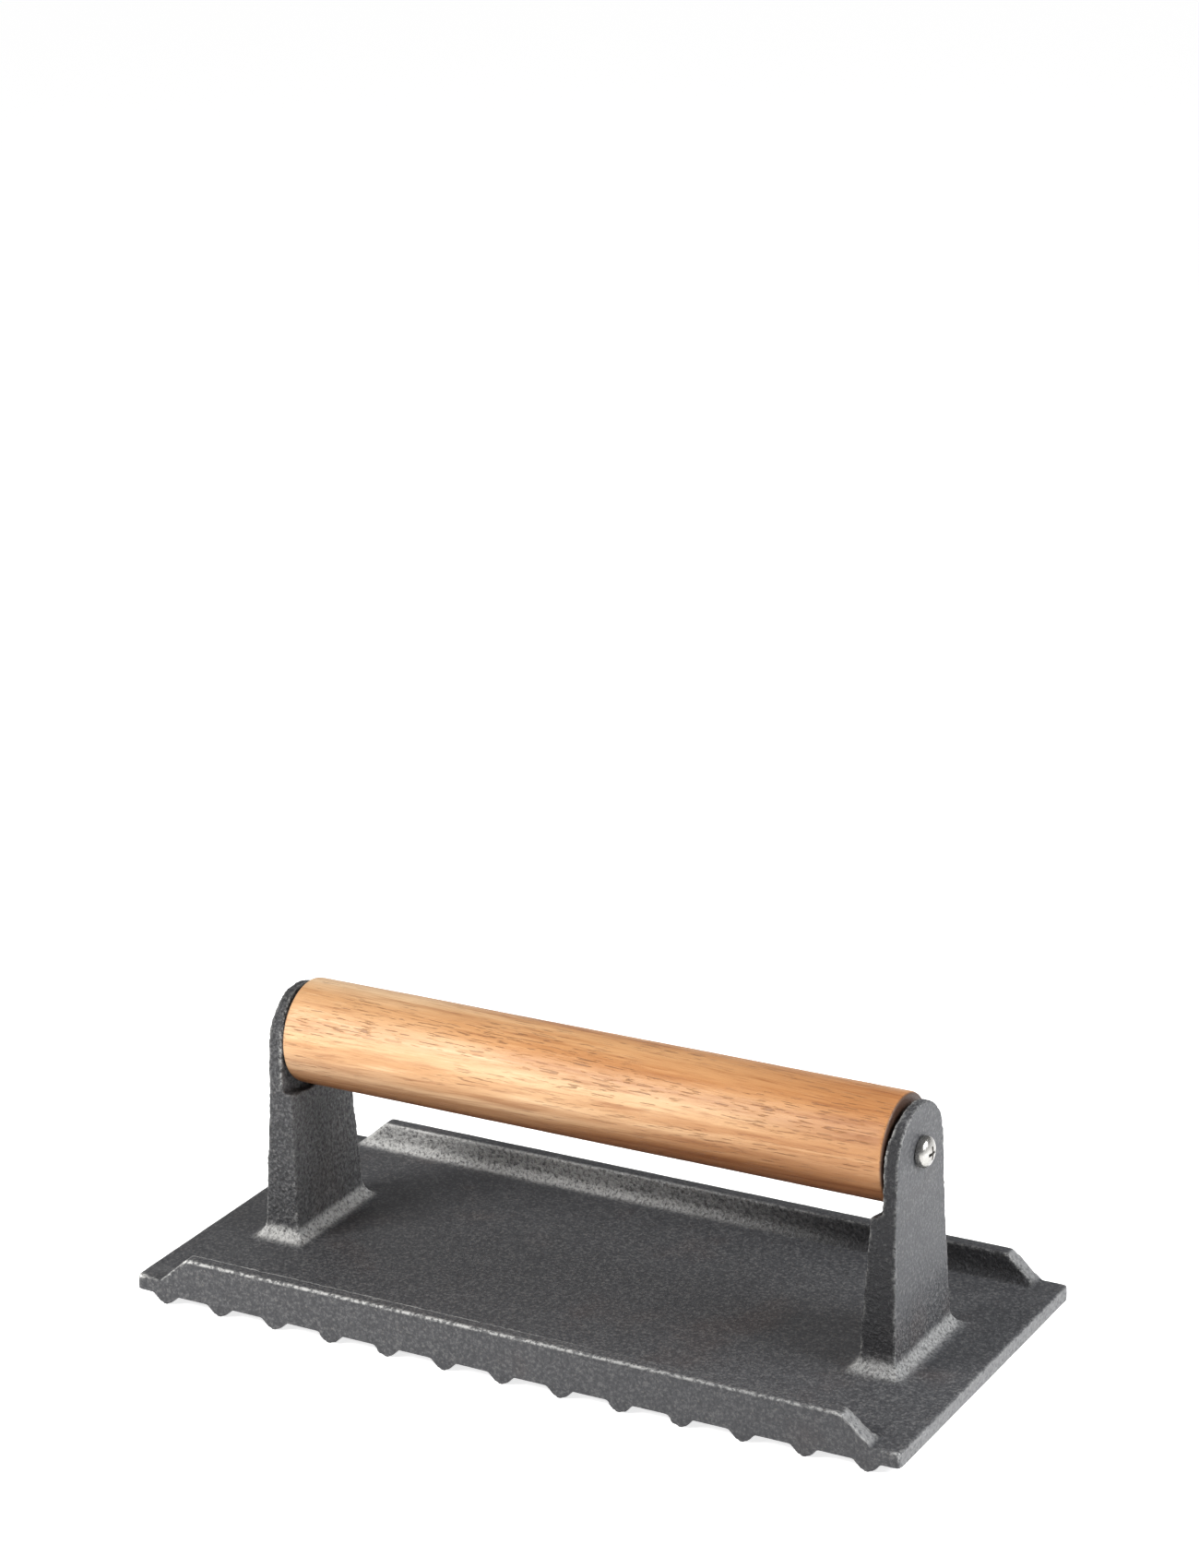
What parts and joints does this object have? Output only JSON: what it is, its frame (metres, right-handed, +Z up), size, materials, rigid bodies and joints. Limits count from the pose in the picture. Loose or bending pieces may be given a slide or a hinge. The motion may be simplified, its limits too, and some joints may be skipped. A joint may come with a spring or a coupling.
{
  "type": "bacon press",
  "caption": "Rectangular cast-iron bacon press with a ribbed underside, lips along its long edges and a round wooden grip that turns on a steel rod between cast posts.",
  "frame": {"origin": "centre of the footprint, on the ground flats of the rib crowns that the press stands on", "axes": "+X along the grip and the long edges of the plate, +Y across the plate along the ribs, +Z up towards the grip"},
  "size_m": [0.21, 0.1, 0.0719],
  "materials": {
    "casting": "sand-cast, seasoned, satin",
    "grip_wood": "turned and oiled",
    "rod_steel": "bright drawn",
    "screw_steel": "polished stainless"
  },
  "bodies": {
    "press": {"pressing_plate": "casting", "handle_rod": "rod_steel", "left_screw": "screw_steel", "right_screw": "screw_steel"},
    "grip": {"wooden_grip": "grip_wood"}
  },
  "joints": [
    {"name": "grip_turn", "type": "hinge", "parent": "press", "child": "grip", "pos_m": [0, 0, 0.0584], "axis": [1, 0, 0], "continuous": true}
  ]
}
